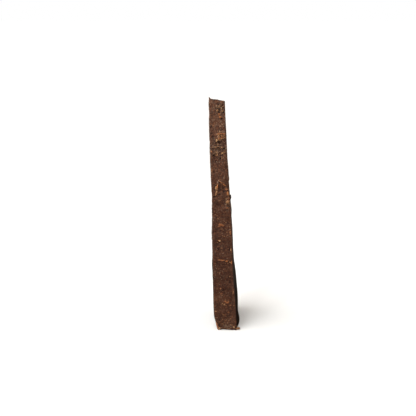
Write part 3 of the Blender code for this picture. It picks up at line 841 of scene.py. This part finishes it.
def chop(mesh, place, sizes, turn, pale, draw, facing=1):
    """Adds one chip: a ball knocked out of round, cut flat by a few planes, stretched and turned.
    Facing is 1 for a chip of the front, and -1 for one of the back or the top."""
    chip = bmesh.new()
    bmesh.ops.create_icosphere(chip, subdivisions=3, radius=1.0)
    for vertex in chip.verts:
        lump = chip_lump * noise.noise(vertex.co * chip_lumps + place)
        ripple = chip_ripple * noise.noise(vertex.co * chip_ripples + place)
        vertex.co *= chip_start + lump + ripple
    for _ in range(chip_cuts):
        way = Vector((draw.uniform(-1, 1), facing * draw.uniform(-1, 0.6), draw.uniform(-1, 1)))
        way.normalize()
        cut = bmesh.ops.bisect_plane(
            chip, geom=chip.verts[:] + chip.edges[:] + chip.faces[:], dist=1e-4,
            plane_co=way * draw.uniform(*chip_cut_places), plane_no=way, clear_outer=True,
        )
        rim_edges = [edge for edge in cut["geom_cut"] if isinstance(edge, bmesh.types.BMEdge)]
        bmesh.ops.holes_fill(chip, edges=rim_edges, sides=0)
    bmesh.ops.triangulate(chip, faces=[face for face in chip.faces if len(face.verts) > 4])
    bmesh.ops.scale(chip, verts=chip.verts, vec=sizes)
    bmesh.ops.rotate(chip, verts=chip.verts, matrix=Matrix.Rotation(math.radians(turn), 3, "Y"))
    bmesh.ops.translate(chip, verts=chip.verts, vec=place + to_frame)
    bmesh.ops.scale(chip, verts=chip.verts, vec=(MM, MM, MM))
    pale_layer = chip.verts.layers.float.new("pale")
    for vertex in chip.verts:
        vertex[pale_layer] = pale
        vertex.co.z = max(vertex.co.z, 0.0)
    single = bpy.data.meshes.new("chip")
    chip.to_mesh(single)
    chip.free()
    mesh.from_mesh(single)
    bpy.data.meshes.remove(single)


# The clouds of the nut, per metre, and how much they brighten or darken it.
nut_cloud_scale, nut_clouding = 1500.0, 0.22


def nut_finish(name, stops):
    """Roasted nut: clouded, matt, with a fine grain, and as pale as each chip is."""
    material, tree, shader = new_finish(name, 0.3)
    shader.inputs["Roughness"].default_value = 0.6
    object_space = add(tree, "ShaderNodeTexCoord", -1000, 0).outputs["Object"]
    clouds = cloud(tree, -800, 0, nut_cloud_scale, 2.0, object_space)
    pale = add(tree, "ShaderNodeAttribute", -1000, 300, attribute_name="pale").outputs["Fac"]
    shift = remap(tree, -600, 0, clouds, 0.3, 0.7, -nut_clouding, nut_clouding)
    colour = ramp(tree, -300, 0, combine(tree, "ADD", -400, 200, shift, pale), stops)
    tree.links.new(colour, shader.inputs["Base Color"])
    bump(tree, shader, clouds, 0.5, 0.0002)
    return material


chip_edge_angle = 32  # degrees, past which an edge stays sharp


def add_piece(name, mesh, material):
    data = bpy.data.meshes.new(name)
    mesh.to_mesh(data)
    mesh.free()
    data.shade_smooth()
    data.set_sharp_from_angle(angle=math.radians(chip_edge_angle))
    data.materials.append(material)
    piece = bpy.data.objects.new(name, data)
    bpy.context.scene.collection.objects.link(piece)
    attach(piece, "root")
    return piece


meat_finish = nut_finish("nut_meat", (
    (0.0, on_screen(98, 61, 36)),
    (0.4, on_screen(132, 88, 54)),
    (0.7, on_screen(176, 132, 90)),
    (1.0, on_screen(230, 192, 146)),
))
skin_finish = nut_finish("nut_skin", (
    (0.0, on_screen(86, 46, 25)),
    (0.5, on_screen(116, 66, 34)),
    (1.0, on_screen(162, 96, 49)),
))
spread = spread_chips()
for first, (name, chips, finish) in enumerate((
    ("nut_pieces", meat_chips, meat_finish), ("nut_skins", skin_chips, skin_finish),
)):
    draw = random.Random(name)
    chip_mesh = bmesh.new()
    for x, height, half_width, half_height, turn, proud, pale in chips:
        place = Vector((x, chip_sunk - coarse_relief(x, height, True), height))
        chop(chip_mesh, place, (half_width, chip_sunk + proud, half_height), turn, pale, draw)
    for place, sizes, turn in spread[first::2]:
        chop(chip_mesh, place, sizes, turn, draw.uniform(0.0, spread_palest), draw, -1)
    add_piece(name, chip_mesh, finish)

# ---------------------------------------------------------------------------------------------
# Slivers: thin flakes and splinters of nut, left by the chopping. They lie close together in the
# patches of nut and singly elsewhere, pressed into the breaks at any angle.

# Place across, height, half width and half height of a patch, and how many slivers are in it.
sliver_patches = (
    (-3.6, 98.2, 1.7, 2.2, 16),
    (-3.1, 86.6, 1.9, 2.1, 34),
    (-3.6, 80.6, 2.6, 3.2, 18),
    (-0.2, 58.5, 1.2, 3.4, 10),
    (0.4, 32.0, 1.4, 1.8, 5),
    (-0.4, 12.6, 2.0, 1.8, 8),
    (-0.5, 4.0, 3.6, 3.6, 12),
    (-2.5, 50.0, 3.6, 52.0, 60),
)
lone_patch_height = 10.0  # the slivers of a patch taller than this lie singly, all over the break
lowest_sliver, highest_sliver = 0.6, 101.0
sliver_sunk, sliver_depth = 0.08, 0.18
sliver_thickness, back_sliver_thickness = (0.09, 0.17), (0.09, 0.2)
shortest_sliver, longest_sliver, longest_lone_sliver, longest_back_sliver = 0.2, 0.62, 0.42, 0.6
palest_sliver, palest_lone_sliver, palest_back_sliver = 0.6, 0.35, 0.5
sliver_turns = (-80, 80)
lone_sliver_across = (0.08, 0.92)  # shares of the thickness
back_sliver_count = 90
back_sliver_across, back_sliver_up = (0.06, 0.94), (0.01, 0.99)  # and of the height

sliver_seed = 31
sliver_draw = random.Random(sliver_seed)
sliver_mesh = bmesh.new()
for middle, level, half_width, half_height, count in sliver_patches:
    for _ in range(count):
        angle, reach = sliver_draw.uniform(0.0, 2.0 * math.pi), sliver_draw.random() ** 0.6
        x = middle + half_width * reach * math.cos(angle)
        height = level + half_height * reach * math.sin(angle)
        height = min(max(height, lowest_sliver), highest_sliver)
        lone = half_height > lone_patch_height
        if lone:
            across = sliver_draw.uniform(*lone_sliver_across)
            left, right = at_height(left_profile, height), at_height(right_profile, height)
            x = left + across * (right - left)
        size = sliver_draw.uniform(shortest_sliver, longest_lone_sliver if lone else longest_sliver)
        place = Vector((x, sliver_sunk - coarse_relief(x, height, True), height))
        sizes = (size, sliver_depth, sliver_draw.uniform(*sliver_thickness))
        turn = sliver_draw.uniform(*sliver_turns)
        pale = sliver_draw.uniform(0.0, palest_lone_sliver if lone else palest_sliver)
        chop(sliver_mesh, place, sizes, turn, pale, sliver_draw)
for _ in range(back_sliver_count):
    across, up = sliver_draw.uniform(*back_sliver_across), sliver_draw.uniform(*back_sliver_up)
    place, _ = shard_point(across, 1.0, up, 0)
    size = sliver_draw.uniform(shortest_sliver, longest_back_sliver)
    sizes = (size, sliver_depth, sliver_draw.uniform(*back_sliver_thickness))
    turn = sliver_draw.uniform(*sliver_turns)
    chop(sliver_mesh, place, sizes, turn, sliver_draw.uniform(0.0, palest_back_sliver), sliver_draw, -1)
add_piece("nut_slivers", sliver_mesh, meat_finish)

# ---------------------------------------------------------------------------------------------
# Crumbs that cling to the breaks: grains of chocolate no larger than coarse salt. Most lie where
# the break is crumbly, at the top, below the patch of nut and round the foot.
crumb_count, crumb_corners = 900, 12
crumb_radii, crumb_stretch = (0.08, 0.26), (0.7, 1.25)
crumb_tones, crumb_greys = (-0.7, 1.1), (0.0, 2.5)
crumb_across, crumb_up = (0.03, 0.97), (0.01, 0.99)  # shares of the thickness and the height
even_break_share = 0.12  # how many crumbs cling where the break is even, against where it is crumbly

crumb_seed = 21
crumb_draw = random.Random(crumb_seed)
crumb_mesh = bmesh.new()
crumb_tone_layer = crumb_mesh.verts.layers.float.new("tone")
crumb_grey_layer = crumb_mesh.verts.layers.float.new("crumb")
while len(crumb_mesh.verts) < crumb_corners * crumb_count:
    across, up = crumb_draw.uniform(*crumb_across), crumb_draw.uniform(*crumb_up)
    back = 0.0 if crumb_draw.random() < 0.5 else 1.0
    place, _ = shard_point(across, back, up, 1)
    rough = crumbliness(place.x, place.z, back < 0.5)
    if crumb_draw.random() > even_break_share + (1.0 - even_break_share) * rough:
        continue
    radius = crumb_draw.uniform(*crumb_radii)
    made = bmesh.ops.create_icosphere(crumb_mesh, subdivisions=1, radius=radius)["verts"]
    tone, grey = crumb_draw.uniform(*crumb_tones), crumb_draw.uniform(*crumb_greys)
    for vertex in made:
        vertex.co *= crumb_draw.uniform(*crumb_stretch)
        vertex[crumb_tone_layer], vertex[crumb_grey_layer] = tone, grey
    bmesh.ops.translate(crumb_mesh, verts=made, vec=place + to_frame)
    bmesh.ops.scale(crumb_mesh, verts=made, vec=(MM, MM, MM))

# One splinter of chocolate stands on the right rim, in its notch, painted near black as shade: place,
# half sizes, turn.
splinter_place, splinter_sizes, splinter_turn = Vector((1.05, 0.2, 60.0)), (0.42, 0.3, 1.2), 4
splinter_painted_shade = -2.0
first = len(crumb_mesh.verts)
chop(crumb_mesh, splinter_place, splinter_sizes, splinter_turn, 0.0, crumb_draw)
crumb_mesh.verts.ensure_lookup_table()
for vertex in crumb_mesh.verts[first:]:
    vertex[crumb_tone_layer] = splinter_painted_shade
add_piece("chocolate_crumbs", crumb_mesh, broken_chocolate)

# ---------------------------------------------------------------------------------------------
# The floor: a plain matt white table top that the shard stands on, wide enough to fill the picture from
# any side. Only the glossy faces see it blotchy: dark and light patches painted in as reflections, so
# that the crinkles catch streaks of light.
floor_half_width = 6.0  # metres
seen_white = (0.99, 0.99, 0.99, 1.0)
bounced_white = (0.60, 0.56, 0.51, 1.0)
dark_blotch, light_blotch = (0.03, 0.028, 0.025, 1.0), (0.62, 0.55, 0.49, 1.0)

floor_mesh = bmesh.new()
bmesh.ops.create_grid(floor_mesh, x_segments=1, y_segments=1, size=floor_half_width)
floor_data = bpy.data.meshes.new("floor")
floor_mesh.to_mesh(floor_data)
floor_mesh.free()
floor = bpy.data.objects.new("floor", floor_data)
bpy.context.scene.collection.objects.link(floor)
white_table, tree, shader = new_finish("white_table", 0.0)
shader.inputs["Roughness"].default_value = 1.0
rays = add(tree, "ShaderNodeLightPath", -600, 200)
bounced = mix_colour(tree, -400, 0, rays.outputs["Is Diffuse Ray"], seen_white, bounced_white)
table_space = add(tree, "ShaderNodeTexCoord", -1000, -300).outputs["Object"]
blotch_cloud = cloud(tree, -800, -300, 9.0, 1.0, table_space)
blotches = ramp(tree, -600, -300, blotch_cloud, ((0.44, dark_blotch), (0.56, light_blotch)))
mirrored = mix_colour(tree, -200, 0, rays.outputs["Is Glossy Ray"], bounced, blotches)
tree.links.new(mirrored, shader.inputs["Base Color"])
floor_data.materials.append(white_table)

# ---------------------------------------------------------------------------------------------
# Two cards of black paper, one lying to the right of the shard and one upright behind it. They show
# only in reflections, where they keep the white room out of the satin right face.
black_paper, tree, shader = new_finish("black_paper", 0.0)
shader.inputs["Base Color"].default_value = (0.005, 0.005, 0.005, 1.0)
card_edge = (to_frame.x + 3.0) * MM  # the left end of the lying one, under the right face
for name, place, turn, size in (
    ("lying_card", (card_edge + 0.025, 0.20, 0.0004), 0.0, (0.05, 0.50)),
    ("upright_card", (card_edge + 0.045, 0.22, 0.13), 90.0, (0.13, 0.26)),
):
    card_mesh = bmesh.new()
    bmesh.ops.create_grid(card_mesh, x_segments=1, y_segments=1, size=0.5)
    bmesh.ops.scale(card_mesh, verts=card_mesh.verts, vec=(*size, 1.0))
    card_turn = Matrix.Rotation(math.radians(turn), 3, "X")
    bmesh.ops.rotate(card_mesh, verts=card_mesh.verts, matrix=card_turn)
    bmesh.ops.translate(card_mesh, verts=card_mesh.verts, vec=place)
    card_data = bpy.data.meshes.new(name)
    card_mesh.to_mesh(card_data)
    card_mesh.free()
    card_data.materials.append(black_paper)
    card = bpy.data.objects.new(name, card_data)
    card.visible_camera = card.visible_diffuse = False
    card.visible_shadow = card.visible_transmission = False
    bpy.context.scene.collection.objects.link(card)

# ---------------------------------------------------------------------------------------------
# Light: a white room, a broad soft sun from the front left and above, one soft lamp aimed at the top
# of the shard and one at its foot, and three panels that only the glossy faces see. The camera sees
# the room as pure white.
room = bpy.data.worlds.new("white_room")
bpy.context.scene.world = room
room.use_nodes = True
tree = room.node_tree
background = tree.nodes["Background"]
background.inputs["Color"].default_value = (1.0, 0.94, 0.86, 1.0)
background.inputs["Strength"].default_value = 0.55
mirrored = add(tree, "ShaderNodeBackground", 0, -400)
mirrored.inputs["Color"].default_value = (1.0, 0.9, 0.82, 1.0)
mirrored.inputs["Strength"].default_value = 0.12
seen = add(tree, "ShaderNodeBackground", 0, -200)
seen.inputs["Color"].default_value = (1.0, 1.0, 1.0, 1.0)
seen.inputs["Strength"].default_value = 1.0
rays = add(tree, "ShaderNodeLightPath", -200, 300)
either = add(tree, "ShaderNodeMixShader", 200, 0)
tree.links.new(rays.outputs["Is Glossy Ray"], either.inputs[0])
tree.links.new(background.outputs[0], either.inputs[1])
tree.links.new(mirrored.outputs[0], either.inputs[2])
all_rays = add(tree, "ShaderNodeMixShader", 400, 0)
tree.links.new(rays.outputs["Is Camera Ray"], all_rays.inputs[0])
tree.links.new(either.outputs[0], all_rays.inputs[1])
tree.links.new(seen.outputs[0], all_rays.inputs[2])
tree.links.new(all_rays.outputs[0], tree.nodes["World Output"].inputs["Surface"])


def add_lamp(name, kind, place, target, power, lights_matt=True, **settings):
    lamp = bpy.data.lights.new(name, kind)
    lamp.energy = power
    for setting, value in settings.items():
        setattr(lamp, setting, value)
    lamp_object = bpy.data.objects.new(name, lamp)
    lamp_object.location = place
    lamp_object.visible_camera = False
    lamp_object.visible_diffuse = lights_matt
    lamp_object.rotation_euler = (Vector(target) - Vector(place)).to_track_quat("-Z", "Y").to_euler()
    bpy.context.scene.collection.objects.link(lamp_object)


add_lamp("sun", "SUN", (-0.38, -0.42, 1.0), (0.0, 0.0, 0.0), 2.05, angle=math.radians(50))
add_lamp(
    "top_spot", "SPOT", (-0.22, -0.36, 0.25), (0.0, 0.0, 0.118), 10.2,
    color=(0.85, 0.97, 1.0), spot_size=math.radians(26), spot_blend=1.0, shadow_soft_size=0.05,
)
add_lamp(
    "foot_spot", "SPOT", (-0.12, -0.38, 0.12), (0.0, -0.01, -0.006), 9.0,
    spot_size=math.radians(7.5), spot_blend=1.0, shadow_soft_size=0.05,
)
for name, place in (
    ("left_panel", (-0.55, -0.12, 0.22)),
    ("back_left_panel", (-0.40, 0.45, 0.30)),
    ("right_panel", (0.60, -0.15, 0.25)),
):
    add_lamp(
        name, "AREA", place, (0.0, 0.0, 0.05), 2.0, False,
        color=(1.0, 0.9, 0.82), shape="RECTANGLE", size=0.12, size_y=0.35,
    )

# ---------------------------------------------------------------------------------------------
# The camera: a long lens, 41 cm in front of the shard and a little to its left. It stands higher
# than the shard and looks down by twelve degrees, with everything in focus.
camera_across, camera_away, camera_height = 8.53, 415.0, 143.6
look_down = 12.0  # degrees

camera_data = bpy.data.cameras.new("camera")
camera_data.lens = 85.0
camera_data.sensor_width = 36.0
camera = bpy.data.objects.new("camera", camera_data)
camera.location = (
    (to_frame.x - camera_across) * MM, (to_frame.y - camera_away) * MM, camera_height * MM
)
camera.rotation_euler = (math.radians(90.0 - look_down), 0.0, 0.0)
bpy.context.scene.collection.objects.link(camera)
bpy.context.scene.camera = camera
bpy.context.scene.view_settings.view_transform = "Standard"
